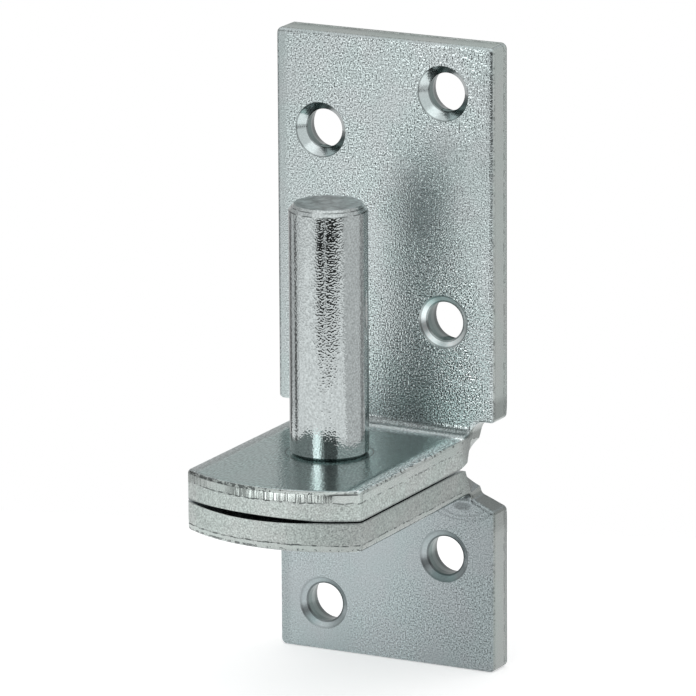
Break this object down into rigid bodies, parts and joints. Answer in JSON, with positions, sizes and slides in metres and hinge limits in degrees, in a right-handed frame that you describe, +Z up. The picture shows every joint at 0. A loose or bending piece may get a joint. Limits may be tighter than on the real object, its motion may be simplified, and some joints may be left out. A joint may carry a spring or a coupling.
{
  "type": "gate hinge pin",
  "caption": "Screw-on gate hinge pin: an upright steel pin riveted through the stacked tabs of L-bent plates with countersunk screw holes, carrying the eye of a strap hinge.",
  "frame": {"origin": "on the pin's axis, at the upper tab's top face, where the pin stands", "axes": "+Z up along the pin, the plates' fronts face -Y and their rear faces +Y, +X to the right seen from the front"},
  "size_m": [0.04, 0.0495, 0.1059],
  "materials": {
    "plate_zinc": "bright zinc plating on blanked sheet, finely grained",
    "pin_zinc": "bright zinc plating on a turned pin, glossy"
  },
  "bodies": {
    "root": {"upper_bracket": "plate_zinc", "lower_bracket": "plate_zinc", "hinge_pin": "pin_zinc"}
  },
  "joints": []
}
